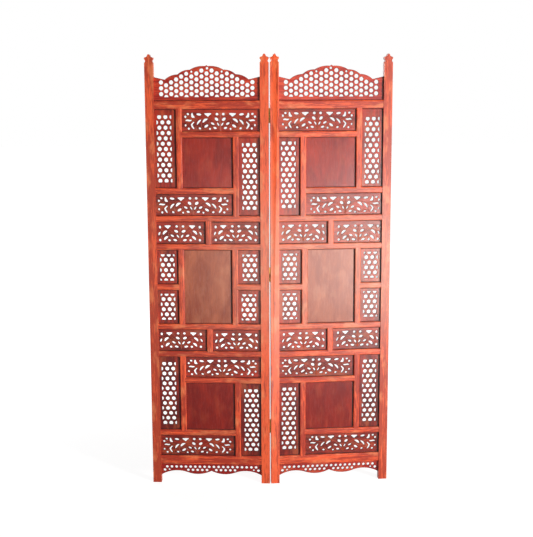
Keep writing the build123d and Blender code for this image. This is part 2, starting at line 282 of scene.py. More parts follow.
class Wire:
    """A socket of a material, on which Python's operators add Math nodes."""

    def __init__(self, tree, socket=None):
        self.tree = tree
        self.socket = socket

    def node(self, kind, inputs, output=0, **settings):
        """Adds any node: its settings first, then the values or links of its sockets."""
        made = self.tree.nodes.new(kind)
        for name, value in settings.items():
            setattr(made, name, value)
        for name, value in inputs.items():
            socket = made.inputs[name]
            if isinstance(value, Wire):
                self.tree.links.new(value.socket, socket)
            else:
                socket.default_value = value
        return Wire(self.tree, made.outputs[output])

    def maths(self, operation, *values):
        """A Math node on some values."""
        return self.node("ShaderNodeMath", dict(enumerate(values)), operation=operation)

    def __add__(self, other):
        return self.maths("ADD", self, other)

    def __radd__(self, other):
        return self.maths("ADD", other, self)

    def __sub__(self, other):
        return self.maths("SUBTRACT", self, other)

    def __rsub__(self, other):
        return self.maths("SUBTRACT", other, self)

    def __mul__(self, other):
        return self.maths("MULTIPLY", self, other)

    def __rmul__(self, other):
        return self.maths("MULTIPLY", other, self)

    def largest(self, other):
        """The larger of this value and another."""
        return self.maths("MAXIMUM", self, other)

    def between(self, low, high):
        """0 below low, 1 above high and smooth between them."""
        inputs = {"Value": self, "From Min": low, "From Max": high}
        return self.node("ShaderNodeMapRange", inputs, interpolation_type="SMOOTHSTEP")

    def mix(self, first, second):
        """A colour: first where this value is 0 and second where it is 1."""
        inputs = {"Factor": self, 6: first, 7: second}
        return self.node("ShaderNodeMix", inputs, output=2, data_type="RGBA")

    def noise(self, vector, stretch, detail=3.0, roughness=0.55, distortion=0.0):
        """Noise with so many lumps to the metre along each axis of a vector."""
        scaled = self.node("ShaderNodeMapping", {"Vector": vector, "Scale": stretch})
        inputs = {
            "Vector": scaled,
            "Scale": 1.0,
            "Detail": detail,
            "Roughness": roughness,
            "Distortion": distortion,
        }
        return self.node("ShaderNodeTexNoise", inputs)


def new_material(name):
    """An empty material, its Principled shader and a Wire to start expressions from."""
    material = bpy.data.materials.new(name)
    material.use_nodes = True
    tree = material.node_tree
    shader = next(node for node in tree.nodes if node.type == "BSDF_PRINCIPLED")
    return material, shader, Wire(tree)


def plug(shader, wire, name):
    """Links a Wire to one of the shader's sockets."""
    wire.tree.links.new(wire.socket, shader.inputs[name])


def attribute(start, name, output="Fac"):
    """One of the numbers or vectors laid on a piece's vertices."""
    return start.node("ShaderNodeAttribute", {}, output=output, attribute_name=name)


def across_and_up(start, vector):
    """The parts of a vector across the screen and up."""
    return [start.node("ShaderNodeSeparateXYZ", {0: vector}, output=axis) for axis in "XZ"]


def painted_corner_shade(start):
    """1 by a panel's bars: painted shade, wider on the side where the bars cast shadows."""
    reach = attribute(start, "reach", "Vector")
    clean = attribute(start, "clean", "Vector")
    away = start.node("ShaderNodeVectorMath", {0: reach}, operation="ABSOLUTE")
    past = start.node("ShaderNodeVectorMath", {0: away, 1: clean}, operation="SUBTRACT")
    across, up = across_and_up(start, past)
    return across.largest(up).between(0.0, CORNER_SHADE_REACH)


def painted_sheen(across, up):
    """1 at window height on the window's side: a pale painted sheen, where the window's reflection
    falls.
    """
    return (
        across.between(*SHEEN_ACROSS)
        * up.between(*SHEEN_BEGINS)
        * (1 - up.between(*SHEEN_ENDS))
    )


def kept(up):
    """1 at the floor to 0 at window height: painted shade, darker towards the floor."""
    return 1 - up.between(*LOW_SHADE_HEIGHTS)


def stained_wood(name, deep, fresh, pale, gloss, figure, fleck, patch, sheen_share):
    """Stained and lacquered wood, its grain along X of each piece's own grain attribute."""
    material, shader, start = new_material(name)
    across, up = across_and_up(start, start.node("ShaderNodeTexCoord", {}, output="Object"))
    grain = attribute(start, "grain", "Vector")
    cloud = start.noise(grain, (8.0, 18.0, 18.0), detail=4.0, distortion=0.8)
    fibre = start.noise(grain, (22.0, 240.0, 240.0), detail=5.0, roughness=0.7)
    streak = start.noise(grain, (6.0, 85.0, 85.0), detail=3.0, distortion=0.4)
    pores = start.noise(grain, (45.0, 900.0, 900.0), detail=1.0).between(0.60, 0.70)
    blotch = start.noise(grain, (12.0, 26.0, 26.0), detail=3.0).between(0.5, 0.7)

    # The stain about the piece's own tone, paler in blotches and darker in the pores
    depth = (cloud - 0.5) * figure + (streak - 0.5) * fleck + (fibre - 0.5) * fleck
    # Painted shade, darker towards the floor
    tone = attribute(start, "tone") - kept(up) * LOW_PAINTED_SHADE
    colour = (depth + tone).between(0.0, 1.0).mix(deep, fresh)
    colour = (blotch * patch).mix(colour, pale)
    colour = (pores * PORE_DEPTH).mix(colour, PORE_AND_SHADE_DARK)

    # Wear along the edges, a painted sheen on the window's side, and painted shade in holes and
    # corners
    colour = (attribute(start, "worn") * (0.35 + fibre * 0.5)).mix(colour, pale)
    colour = (painted_sheen(across, up) * (0.6 + blotch * 0.4) * sheen_share).mix(colour, PAINTED_SHEEN_PALE)
    # Painted shade on the holes' walls
    holes = attribute(start, "shade") * HOLE_PAINTED_SHADE
    painted_shade = holes.largest(painted_corner_shade(start) * (0.8 + fibre * 0.4))
    plug(shader, painted_shade.mix(colour, PORE_AND_SHADE_DARK), "Base Color")

    # Lacquer that has sunk into the fibres and pores, and matt where the shade is painted
    roughness = gloss + (fibre - 0.5) * 0.2 + pores * 0.2
    plug(shader, roughness.largest(painted_shade * 0.8), "Roughness")
    relief = {
        "Height": fibre * 0.5 + streak * 0.6 - pores * 0.6,
        "Strength": 0.3,
        "Distance": 0.0005,
    }
    plug(shader, start.node("ShaderNodeBump", relief, output="Normal"), "Normal")
    shader.inputs["Specular IOR Level"].default_value = LACQUER_SHINE
    return material


def aged_brass():
    """Dull brass with darker tarnish in patches and fine scratches."""
    material, shader, start = new_material("aged_brass")
    place = start.node("ShaderNodeTexCoord", {}, output="Object")
    tarnish = start.noise(place, (90.0, 90.0, 90.0), detail=5.0).between(0.42, 0.7)
    scratch = start.noise(place, (900.0, 900.0, 60.0), detail=2.0)
    plug(shader, tarnish.mix(BRIGHT_BRASS, DARK_BRASS), "Base Color")
    plug(shader, 0.30 + tarnish * 0.22 + (scratch - 0.5) * 0.2, "Roughness")
    shader.inputs["Metallic"].default_value = 1.0
    return material


# The dark of the pores, and of the painted shade in holes and corners
PORE_AND_SHADE_DARK = tint(24, 7, 7)
# The pale of the painted sheen
PAINTED_SHEEN_PALE = tint(226, 156, 126)
BRIGHT_BRASS = tint(196, 158, 92)
DARK_BRASS = tint(104, 78, 46)
FRAME_WOOD = stained_wood(
    "frame_wood",
    deep=tint(164, 14, 6),
    fresh=tint(246, 86, 42),
    pale=tint(250, 142, 90),
    gloss=0.36,
    figure=1.6,
    fleck=3.4,
    patch=0.55,
    sheen_share=0.65,
)
CREST_WOOD = stained_wood(
    "crest_wood",
    deep=tint(152, 22, 12),
    fresh=tint(226, 76, 44),
    pale=tint(232, 112, 74),
    gloss=0.36,
    figure=1.2,
    fleck=1.4,
    patch=0.4,
    sheen_share=0.0,
)
JALI_WOOD = stained_wood(
    "jali_wood",
    deep=tint(100, 12, 6),
    fresh=tint(188, 52, 28),
    pale=tint(206, 104, 62),
    gloss=0.32,
    figure=1.6,
    fleck=1.2,
    patch=0.4,
    sheen_share=0.25,
)
PANEL_WOOD = stained_wood(
    "panel_wood",
    deep=tint(122, 16, 8),
    fresh=tint(188, 50, 28),
    pale=tint(190, 80, 50),
    gloss=0.26,
    figure=1.2,
    fleck=0.3,
    patch=0.25,
    sheen_share=0.0,
)
# Middle panels: paler tan, partly their own colour and partly painted sheen at window height
TAN_SHEEN_PANEL_WOOD = stained_wood(
    "tan_panel_wood",
    deep=tint(136, 50, 26),
    fresh=tint(194, 104, 66),
    pale=tint(204, 128, 86),
    gloss=0.26,
    figure=1.2,
    fleck=0.3,
    patch=0.15,
    sheen_share=0.25,
)
BRASS = aged_brass()


# ---------------------------------------------------------------- finishing a piece

LAYERS = {
    "grain": "float_vector",
    "reach": "float_vector",
    "clean": "float_vector",
    "tone": "float",
    "worn": "float",
    "shade": "float",
}

# How much of its fresh colour each node shows, from 0 for deep to 1 for fresh
TONES = {
    "left_outer_post": 0.16,
    "left_hinge_post": 0.92,
    "right_hinge_post": 0.95,
    "right_outer_post": 0.30,
    "left_top_rail": 0.32,
    "right_top_rail": 0.24,
    "left_bottom_rail": 0.54,
    "left_apron_jali": 0.15,
    "right_apron_jali": 0.35,
    "right_bottom_rail": 0.70,
    "left_lower_frieze_bottom_rail": 0.26,
    "left_lower_pinwheel_bars": 0.44,
    "left_upper_pinwheel_bars": 0.36,
    "right_upper_pinwheel_bars": 0.56,
    "right_lower_pinwheel_bars": 0.43,
    "left_lower_plain_panel": 0.38,
    "right_upper_plain_panel": 0.35,
    "right_middle_plain_panel": 0.45,
    "left_lower_tall_honeycombs": 0.35,
    "right_lower_tall_honeycombs": 0.4,
}
PLAIN_TONE = 0.5
TONE_SPREAD = 0.1
GRAIN_SHIFT = 20.0


def layers(shape, *names):
    """Layers of numbers or vectors on a bmesh's vertices, made where they are new."""
    for name in names:
        kind = getattr(shape.verts.layers, LAYERS[name])
        if name not in kind.keys():
            kind.new(name)
    return [getattr(shape.verts.layers, LAYERS[name])[name] for name in names]


def lay_grain(shape, node, upright=None):
    """Gives each solid a grain along its longer side, unless told, and a tone of its own."""
    layers(shape, *LAYERS)
    grain, tone = layers(shape, "grain", "tone")
    for vertices in solids(shape):
        low, high = corner(vertices, min), corner(vertices, max)
        runs_up = high.z - low.z > high.x - low.x if upright is None else upright
        start = Vector(chance.uniform(0, GRAIN_SHIFT) for _ in range(3))
        own_tone = TONES.get(node, PLAIN_TONE) + chance.uniform(-TONE_SPREAD, TONE_SPREAD)
        for vertex in vertices:
            x, y, z = vertex.co
            along = (z, x, y) if runs_up else (x, z, y)
            vertex[grain] = Vector(along) * MM + start
            vertex[tone] = own_tone


def mark_cell(shape, low, high, side_name):
    """Lays on a panel how far it is from its cell's middle and where the painted shade begins."""
    reach, clean = layers(shape, "reach", "clean")
    # The painted shade's band is shifted towards the key light's side, where the bars cast their
    # shadows
    middle = (low + high) / 2 * MM - Vector((SIDES[side_name] * CORNER_SHADOW_SHIFT, 0, 0))
    half = (high - low) / 2 * MM - Vector((1, 1, 1)) * (PANEL_TONGUE * MM + CORNER_SHADE_REACH)
    for vertex in shape.verts:
        vertex[reach] = vertex.co * MM - middle
        vertex[clean] = half


def finish(node, shape, material, side_name, upright=None, rounded=False):
    """Turns a bmesh on a leaf's axes into the piece that stands for a CAD node."""
    lay_grain(shape, node, upright)
    shape.transform(AXES[side_name])
    if side_name == "left":
        bmesh.ops.reverse_faces(shape, faces=shape.faces)
    name = f"{node}_dressed"
    mesh = bpy.data.meshes.new(name)
    shape.to_mesh(mesh)
    shape.free()
    mesh.shade_smooth()
    mesh.set_sharp_from_angle(angle=radians(SHARP_ANGLE))
    mesh.materials.append(material)
    piece = bpy.data.objects.new(name, mesh)
    bpy.context.scene.collection.objects.link(piece)
    if rounded:
        flat_faces = piece.modifiers.new("flat_faces", "WEIGHTED_NORMAL")
        flat_faces.keep_sharp = True
    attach(piece, f"{side_name}_leaf")
    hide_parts(node)


def ease(shape, edges, size, segments):
    """Rounds some edges of a bmesh and gives back the new vertices."""
    rounded = bmesh.ops.bevel(
        shape,
        geom=edges,
        offset=size,
        offset_type="OFFSET",
        segments=segments,
        profile=0.5,
        affect="EDGES",
        material=-1,
        clamp_overlap=True,
    )
    return rounded["verts"]


# ---------------------------------------------------------------- posts and bars

def on_one_face(edge, half_depth):
    """Whether an edge lies on the front or on the back face of a bar or a post."""
    first, second = (vertex.co.y for vertex in edge.verts)
    return abs(abs(first) - half_depth) < SAME_PLACE and abs(first - second) < SAME_PLACE


def post(side_name, node):
    """A post with its finial's corners rounded and its long edges worn, save the hinges' edge."""
    shape = read_node(side_name, node)
    top = corner(shape.verts, max).z
    sawn = [
        edge
        for edge in shape.edges
        if all(vertex.co.z > top - FINIAL_HEIGHT for vertex in edge.verts)
        and abs(edge.verts[0].co.y - edge.verts[1].co.y) > POST_DEPTH - SAME_PLACE
        and edge.calc_face_angle(0) > radians(FINIAL_ANGLE)
    ]
    ease(shape, sawn, FINIAL_ROUND, POST_ROUND_STEPS)
    around = [
        edge
        for edge in shape.edges
        if on_one_face(edge, POST_DEPTH / 2)
        and not (edge.verts[0].co.y > 0 and max(vertex.co.x for vertex in edge.verts) < HINGE_GAP)
    ]
    worn, = layers(shape, "worn")
    # The finial's short edges hold this bevel down to a hair, so the long edges stay square
    for vertex in ease(shape, around, POST_ROUND, POST_ROUND_STEPS):
        vertex[worn] = POST_WEAR
    finish(node, shape, FRAME_WOOD, side_name, rounded=True)


def bars(side_name, node):
    """Rails or muntins, their long edges rounded and their ends coped over the next bar's."""
    shape = read_node(side_name, node)
    worn, = layers(shape, "worn")
    half_depth = corner(shape.verts, max).y
    for vertices in solids(shape):
        low, high = corner(vertices, min), corner(vertices, max)
        axis = 2 if high.z - low.z > high.x - low.x else 0
        middle = (low[axis] + high[axis]) / 2
        edges = [
            edge
            for edge in {edge for vertex in vertices for edge in vertex.link_edges}
            if on_one_face(edge, half_depth)
            and abs(edge.verts[0].co[axis] - edge.verts[1].co[axis]) > SHORTEST_BAR_EDGE
        ]
        shoulder = max(abs(vertex.co[axis] - middle) for edge in edges for vertex in edge.verts)
        rounded = ease(shape, edges, BAR_ROUND, BAR_ROUND_STEPS)
        for vertex in rounded:
            vertex[worn] = BAR_WEAR
        for vertex in {*(vertex for vertex in vertices if vertex.is_valid), *rounded}:
            if abs(abs(vertex.co[axis] - middle) - shoulder) < SHOULDER_REACH:
                vertex.co[axis] += COPE if vertex.co[axis] > middle else -COPE
    finish(node, shape, FRAME_WOOD, side_name, rounded=True)


def plain_panel(side_name, node, wood):
    """A plain panel, flat between the bars."""
    shape = read_node(side_name, node)
    mark_cell(shape, corner(shape.verts, min), corner(shape.verts, max), side_name)
    finish(node, shape, wood, side_name, upright=True)


# ---------------------------------------------------------------- pierced plates

def plate(outline, holes, thickness=PANEL_THICKNESS, chamfer=RIM_CHAMFER):
    """A flat board about the middle of the leaf, pierced by holes with chamfered rims."""
    flat = bpy.data.curves.new("flat", "CURVE")
    flat.dimensions = "2D"
    flat.fill_mode = "BOTH"
    flat.bevel_depth = chamfer
    flat.bevel_resolution = 0
    flat.extrude = thickness / 2 - chamfer
    flat.offset = -chamfer
    for loop in (outline, *holes):
        spline = flat.splines.new("POLY")
        spline.points.add(len(loop) - 1)
        for point, (x, z) in zip(spline.points, loop):
            point.co = (x, z, 0, 1)
        spline.use_cyclic_u = True
    shape = as_mesh(flat)
    shape.transform(Matrix.Rotation(radians(90), 4, "X"))
    # Painted shade: 1 on the holes' walls, ramping up across their rim chamfers
    shade, = layers(shape, "shade")
    for vertex in shape.verts:
        if abs(vertex.co.y) < thickness / 2 - SAME_PLACE:
            vertex[shade] = 1.0
    return shape


def as_mesh(curve):
    """A curve made a bmesh, its doubles merged and its faces turned outwards."""
    holder = bpy.data.objects.new("drawn", curve)
    mesh = bpy.data.meshes.new_from_object(holder)
    shape = bmesh.new()
    shape.from_mesh(mesh)
    bpy.data.objects.remove(holder)
    bpy.data.curves.remove(curve)
    bpy.data.meshes.remove(mesh)
    bmesh.ops.remove_doubles(shape, verts=shape.verts, dist=CURVE_MERGE)
    bmesh.ops.recalc_face_normals(shape, faces=shape.faces)
    return shape


def rectangle(low, high):
    """The outline of a panel between two corners."""
    return [(low.x, low.z), (high.x, low.z), (high.x, high.z), (low.x, high.z)]


def cell(x, z, width, first_flat):
    """A filed honeycomb hole: a hexagon of this width across its flats, its corners rounded."""
    points = []
    for step in range(CELL_STEPS):
        angle = 2 * pi * step / CELL_STEPS
        off_flat = (angle - first_flat + pi / 6) % (pi / 3) - pi / 6
        reach = min(width / 2 / cos(off_flat), width * CELL_CORNER_REACH)
        points.append((x + reach * cos(angle), z + reach * sin(angle)))
    return points


def cut(loop, axis, limit, keep):
    """The part of a loop on one side of a line: keep is 1 for above the limit, -1 for below."""
    kept = []
    for first, second in zip(loop, loop[1:] + loop[:1]):
        first_in = (first[axis] - limit) * keep >= 0
        second_in = (second[axis] - limit) * keep >= 0
        if first_in:
            kept.append(first)
        if first_in != second_in:
            share = (limit - first[axis]) / (second[axis] - first[axis])
            kept.append(tuple(a + (b - a) * share for a, b in zip(first, second)))
    return kept


# How far each panel's piercing sits outward and up from the panel's middle, and for
# honeycombs whether the rows begin shifted inward
PIERCING_PLACES = {
    "left_upper_tall_honeycombs": ((0, 1, False), (5, -1, True)),
    "left_lower_tall_honeycombs": ((-2, -3, False), (5, -2, True)),
    "left_small_honeycombs": ((3, -2, True), (-2, -3, False), (2, -1, False), (2, -3, True)),
    "right_upper_tall_honeycombs": ((-4, 7, False), (-1, -11, False)),
    "right_lower_tall_honeycombs": ((-2, 3, False), (0, 0, False)),
    "right_small_honeycombs": ((-1, 1, True), (-1, 0, False), (0, 3, True), (0, 1, True)),
    "left_upper_frieze_vines": ((2, -2), (5, -3)),
    "left_lower_frieze_vines": ((2, -4), (7, -1)),
    "left_upper_long_vine_top": ((3, -7),),
    "left_upper_long_vine_bottom": ((6, -5),),
    "left_lower_long_vine_top": ((6, -6),),
    "left_lower_long_vine_bottom": ((4, -6),),
    "right_upper_frieze_vines": ((0, -1), (4, -5)),
    "right_lower_frieze_vines": ((2, -2), (4, -1)),
    "right_upper_long_vine_top": ((0, -4),),
    "right_upper_long_vine_bottom": ((5, -6),),
    "right_lower_long_vine_top": ((-1, -4),),
    "right_lower_long_vine_bottom": ((3, -1),),
}


def size_of(loop):
    """The smaller of a loop's width and height."""
    if len(loop) < 3:
        return 0.0
    return min(max(places) - min(places) for places in zip(*loop))


def boards(side_name, node):
    """The panels of one node with their piercing's place, the innermost and lowest first."""
    panels = sorted(boxes(side_name, node), key=lambda box: (round(box[0].x), round(box[0].z)))
    paired = zip(panels, PIERCING_PLACES[node], strict=True)
    return [(low, high, place) for (low, high), place in paired]


def comb_holes(middle_x, middle_z, rows, end_cut, mirrored):
    """The cells of a tall or small panel, those at the field's borders cut straight."""
    half_height = (rows - 1) / 2 * COMB_ROW_PITCH + end_cut
    holes = []
    for row in range(rows):
        z = ((rows - 1) / 2 - row) * COMB_ROW_PITCH
        shift = COMB_PITCH / 4 * (1 if row % 2 == 0 else -1) * (-1 if mirrored else 1)
        for column in range(-COMB_SIDE_COLUMNS, COMB_SIDE_COLUMNS + 1):
            x = shift + column * COMB_PITCH
            hole = cell(x, z, COMB_HOLE, 0.0)
            for axis, limit in ((0, COMB_FIELD_HALF_WIDTH), (1, half_height)):
                hole = cut(cut(hole, axis, limit, -1), axis, -limit, 1)
            if size_of(hole) > SMALLEST_CUT_CELL:
                holes.append([(middle_x + a, middle_z + b) for a, b in hole])
    return holes


def honeycombs(side_name, node, rows, end_cut):
    """The honeycomb panels of one node."""
    shape = bmesh.new()
    for low, high, (outward, up, mirrored) in boards(side_name, node):
        middle_x, middle_z = (low.x + high.x) / 2 + outward, (low.z + high.z) / 2 + up
        holes = comb_holes(middle_x, middle_z, rows, end_cut, mirrored)
        board = plate(rectangle(low, high), holes)
        mark_cell(board, low, high, side_name)
        join(shape, board)
    finish(node, shape, JALI_WOOD, side_name)


def join(shape, more):
    """Adds one bmesh to another."""
    mesh = bpy.data.meshes.new("more")
    more.to_mesh(mesh)
    more.free()
    shape.from_mesh(mesh)
    bpy.data.meshes.remove(mesh)


# ---------------------------------------------------------------- crest and apron

def arc(start, end, bulge, steps):
    """Points from start towards end, without it, on an arc that bulges to the left of the way."""
    chord = Vector(end) - Vector(start)
    left = Vector((-chord.y, chord.x)).normalized()
    half = chord.length / 2
    radius = (half * half + bulge * bulge) / (2 * abs(bulge))
    centre = (Vector(start) + Vector(end)) / 2 + left * (bulge - radius * (1 if bulge > 0 else -1))
    first = atan2(start[1] - centre.y, start[0] - centre.x)
    last = atan2(end[1] - centre.y, end[0] - centre.x)
    swing = (last - first + pi) % (2 * pi) - pi
    turns = (first + swing * step / steps for step in range(steps))
    return [(centre.x + radius * cos(turn), centre.y + radius * sin(turn)) for turn in turns]


def mirrored_outline(half, middle):
    """A closed outline from its outer half, which starts by the middle line, mirrored there."""
    outer = [(middle + x, z) for x, z in half]
    inner = [(middle - x, z) for x, z in reversed(half) if x > SAME_PLACE]
    return outer + inner


def edge_gap(x, z, edge):
    """How far a point is from a run of points along an edge, and the direction away from it."""
    near = min(edge, key=lambda point: hypot(x - point[0], z - point[1]))
    gap = hypot(x - near[0], z - near[1])
    return gap, (x - near[0]) / gap, (z - near[1]) / gap


def fitted_hole(x, z, width, first_flat, edge, border):
    """A hole kept clear of an edge: a whole cell, a smaller one pushed away, or none."""
    gap, away_x, away_z = edge_gap(x, z, edge)
    room = gap - border + width / 2
    if room >= width:
        return cell(x, z, width, first_flat)
    if room < SMALLEST_HOLE:
        return None
    shove = (width - room) / 2
    return cell(x + away_x * shove, z + away_z * shove, room, first_flat)


def crest(side_name, node):
    """The crest board: scalloped above, honeycombed, its lowest cells cut straight."""
    (low, high), = boxes(side_name, node)
    middle = (low.x + high.x) / 2
    foot = low.z + PANEL_TONGUE
    half_width = (high.x - low.x) / 2 - PANEL_TONGUE
    reaches = (CREST_PEAK_REACH, *CREST_CUSP_REACHES)
    rises = (CREST_CROWN_RISE, *CREST_CUSP_RISES)
    cusps = [(reach, foot + rise) for reach, rise in zip(reaches, rises)]
    half = [(0.0, foot + CREST_PEAK_RISE)]
    for start, end in zip(cusps, cusps[1:]):
        half += arc(start, end, CREST_SCALLOP_BULGE, CREST_SCALLOP_STEPS)
    end_z = foot + CREST_END_RISE
    edge_half = half + [cusps[-1], (half_width, end_z)]
    half = edge_half + [(half_width + PANEL_TONGUE, end_z), (half_width + PANEL_TONGUE, low.z)]
    run = cusps[-1][0]
    while run < half_width:
        run += CREST_EDGE_STEP
        edge_half.append((run, end_z))
    edge = [(middle + sign * x, z) for x, z in edge_half for sign in (-1, 1)]
    holes = []
    for column in range(-CREST_SIDE_COLUMNS, CREST_SIDE_COLUMNS + 1):
        x = middle + column * CREST_COLUMN_PITCH
        z = foot + CREST_LOWEST_RISE - (0 if column % 2 else CREST_ROW_PITCH / 2)
        while z < foot + CREST_PEAK_RISE and edge_above(x, z, edge):
            hole = fitted_hole(x, z, CREST_HOLE, pi / 6, edge, CREST_BORDER)
            if hole:
                holes.append(cut(hole, 1, foot + CREST_FIELD_RISE, 1))
            z += CREST_ROW_PITCH
    shape = plate(mirrored_outline(half, middle), holes)
    open_top = high + Vector((0, 0, CREST_PEAK_RISE))
    mark_cell(shape, low, open_top, side_name)
    finish(node, shape, CREST_WOOD, side_name)


def edge_above(x, z, edge):
    """Whether the edge over a point is above it."""
    return min(edge, key=lambda point: abs(point[0] - x))[1] > z


def through(start, middle, end, steps):
    """Points from start towards end, without it, on the circle through a middle point."""
    chord = Vector(end) - Vector(start)
    left = Vector((-chord.y, chord.x)).normalized()
    offset = Vector(middle) - (Vector(start) + Vector(end)) / 2
    along = offset.dot(chord.normalized())
    rise = offset.dot(left)
    half = chord.length / 2
    centre_rise = (along * along + rise * rise - half * half) / (2 * rise)
    radius = hypot(half, centre_rise)
    bulge = centre_rise + (radius if rise > 0 else -radius)
    return arc(start, end, bulge, steps)


def apron(side_name, node):
    """The apron board: waved below, with a row of holes and a second one where there is room."""
    (low, high), = boxes(side_name, node)
    middle = (low.x + high.x) / 2
    top = high.z - PANEL_TONGUE
    half_width = (high.x - low.x) / 2 - PANEL_TONGUE
    cusp = (0.0, top - APRON_CUSP_DROP)
    lobe = (APRON_LOBE_REACH, top - APRON_LOBE_DROP)
    turn = (APRON_TURN_REACH, top - APRON_TURN_DROP)
    arch = (APRON_ARCH_REACH, top - APRON_ARCH_DROP)
    end = (half_width, top - APRON_END_DROP)
    wave = through(cusp, lobe, turn, APRON_WAVE_STEPS)
    wave += through(turn, arch, end, APRON_WAVE_STEPS) + [end]
    half = wave + [(half_width + PANEL_TONGUE, end[1]), (half_width + PANEL_TONGUE, high.z)]
    edge = [(middle + sign * x, z) for x, z in wave for sign in (-1, 1)]
    holes = []
    for row in range(APRON_ROWS):
        z = top - APRON_HOLE_DROP - row * APRON_ROW_PITCH
        for column in range(-APRON_SIDE_COLUMNS, APRON_SIDE_COLUMNS + 1):
            x = (column + (0 if row else 0.5)) * APRON_HOLE_PITCH
            if abs(x) > half_width - APRON_SIDE_BORDER or (row and column == 0):
                continue
            hole = fitted_hole(middle + x, z, APRON_HOLE, 0.0, edge, APRON_BORDER)
            if hole:
                holes.append(hole)
    shape = plate(mirrored_outline(half, middle), holes)
    finish(node, shape, CREST_WOOD, side_name)


# ---------------------------------------------------------------- vine panels

def placed(loop, x, z, turn=0):
    """A loop turned in degrees and moved to a place."""
    across, up = cos(radians(turn)), sin(radians(turn))
    return [(x + a * across - b * up, z + a * up + b * across) for a, b in loop]


def petal(x, z, length, width, turn=0, bend=0.0, wave=0.0):
    """A leaf-shaped hole, turned in degrees, with its spine bent sideways or waved."""
    upper, lower = [], []
    for step in range(PETAL_STEPS + 1):
        share = 2 * step / PETAL_STEPS - 1
        spine = bend * (1 - share * share) + wave * sin(pi * share)
        half_width = width / 2 * (1 - share * share) ** PETAL_BLUNTNESS
        upper.append((share * length / 2, spine + half_width))
        lower.append((share * length / 2, spine - half_width))
    return placed(upper + lower[-2:0:-1], x, z, turn)


def trefoil(x, z, width, height):
    """A wide three-cornered hole, flat above with its point below."""
    loop = [
        (-0.5, 0.42), (-0.25, 0.5), (0.25, 0.46), (0.5, 0.4), (0.42, 0.1),
        (0.2, -0.2), (0.04, -0.48), (-0.1, -0.42), (-0.24, -0.1), (-0.44, 0.12),
    ]
    return [(x + a * width, z + b * height) for a, b in loop]


# Two holes drawn from their own middles
BOOT = [
    (2, 10), (6, 9.5), (8, 4), (7, -7), (3, -9.5),
    (-3, -10), (-7.5, -8), (-5, -4), (-1, 1), (0.5, 6),
]
CHEVRON = [
    (-8, 11), (-5, 12.5), (0, 8), (5, 3), (6.5, -1), (4, -8), (-2, -16),
    (-6, -18), (-8, -16), (-6, -11), (-2.5, -5), (-0.5, -1), (-3, 4), (-7, 8),
]

# The outer half of each pattern, from the middle of its panel, and the stems and veins as the
# points that they pass through
LONG_VINE_HOLES = [
    petal(13, 32, 12.5, 10.5),
    trefoil(51, 29, 29, 15),
    petal(88, 31, 21, 9, 8),
    placed(BOOT, 112, 27),
    petal(133, 32.5, 11, 8.5, 20),
    petal(143.5, 21.5, 9.5, 9.5),
    petal(15, 11.3, 18, 11.5, 38),
    petal(62, 5, 27, 9.5, -36, bend=3.2),
    petal(87, -1, 28, 7.5, -50, bend=2.6),
    petal(130.5, 6.5, 28, 7.5, -8, wave=1.6),
    placed(CHEVRON, 115, -11),
    petal(8.5, -9, 16, 6, 58),
    petal(31, -6.7, 17, 8, 29),
    petal(57.5, -16.5, 20, 9.5, -33),
    petal(143, -13.5, 8, 9),
    petal(21.5, -24.5, 15, 8.5, 15),
    petal(42.5, -28, 8.5, 8),
    petal(84, -26, 11, 8, 25),
    petal(130, -27, 9.5, 9),
]
LONG_VINE_STEMS = [
    [(1.6, -36), (1.0, -18), (1.4, -2), (4, 10), (2.0, 20), (1.5, 36)],
    [(3, -3), (9, 2), (20, 1.5), (32, 8), (44, 15.5), (60, 18), (78, 13.5), (92, 10)],
    [(92, 10), (104, 13), (118, 14), (131, 17), (137, 24), (132, 27), (126, 22)],
    [
        (92, 10), (102, 5.5), (110, 4), (117, 1.5), (124, -2),
        (134, -3), (140, -6), (137, -12), (131, -10),
    ],
    [(3, -30), (10, -18), (22, -15.5), (36, -17), (44, -10), (46, -1), (42, 6)],
    [(36, -17), (51, -24), (62, -29), (74, -22), (78, -12), (76, -3)],
    [(74, -22), (90, -18), (101, -19), (106, -28), (118, -32)],
]
LONG_VINE_VEINS = [
    [(22, 20), (34, 27), (36, 34)],
    [(70, 20), (74, 27), (76, 34)],
    [(22, 4), (16, -8), (14, -16)],
    [(52, -7), (66, -8), (72, -14)],
    [(97, -12), (99, -24), (96, -32)],
]
SHORT_VINE_HOLES = [
    petal(13.5, 29.5, 11.5, 10),
    trefoil(51.5, 27, 27, 15),
    petal(83.5, 26.5, 10, 12),
    petal(15.5, 9, 18.5, 10.5, 24),
    petal(62.5, 3, 26, 9.5, -42, bend=3.0),
    petal(86, -1, 17, 6.5, -63, bend=1.0),
    petal(32, -10, 17, 8, 28),
    petal(9, -11.8, 16.5, 6.5, 54),
    petal(58, -20.5, 24, 9.5, -42, bend=2.6),
    petal(20.5, -28.3, 17.5, 9, 15),
    petal(44.5, -29, 11, 9.5),
    petal(83.5, -28.5, 10.5, 10.5),
]
SHORT_VINE_STEMS = [
    [(1.2, -36), (0.8, -18), (1.4, -3), (3.5, 10), (2.0, 20), (1.0, 36)],
    [
        (3, -3), (12, -1), (24, 1), (34, 9), (46, 15.5),
        (60, 15.5), (73, 9), (79, -3), (77, -16), (69, -27),
    ],
    [(3, -28), (12, -19.5), (26, -19), (40, -17), (47, -8), (48, 1), (42, 7)],
    [(73, 9), (79, 16), (74, 24), (70, 34)],
]
SHORT_VINE_VEINS = [
    [(24, 16), (32, 24), (34, 34)],
    [(40, -17), (38, -26), (34, -34)],
    [(63, -9), (72, -12), (78, -16)],
    [(77, -16), (85, -17), (92, -20)],
]
LONG_VINE = (LONG_VINE_HOLES, LONG_VINE_STEMS, LONG_VINE_VEINS)
SHORT_VINE = (SHORT_VINE_HOLES, SHORT_VINE_STEMS, SHORT_VINE_VEINS)


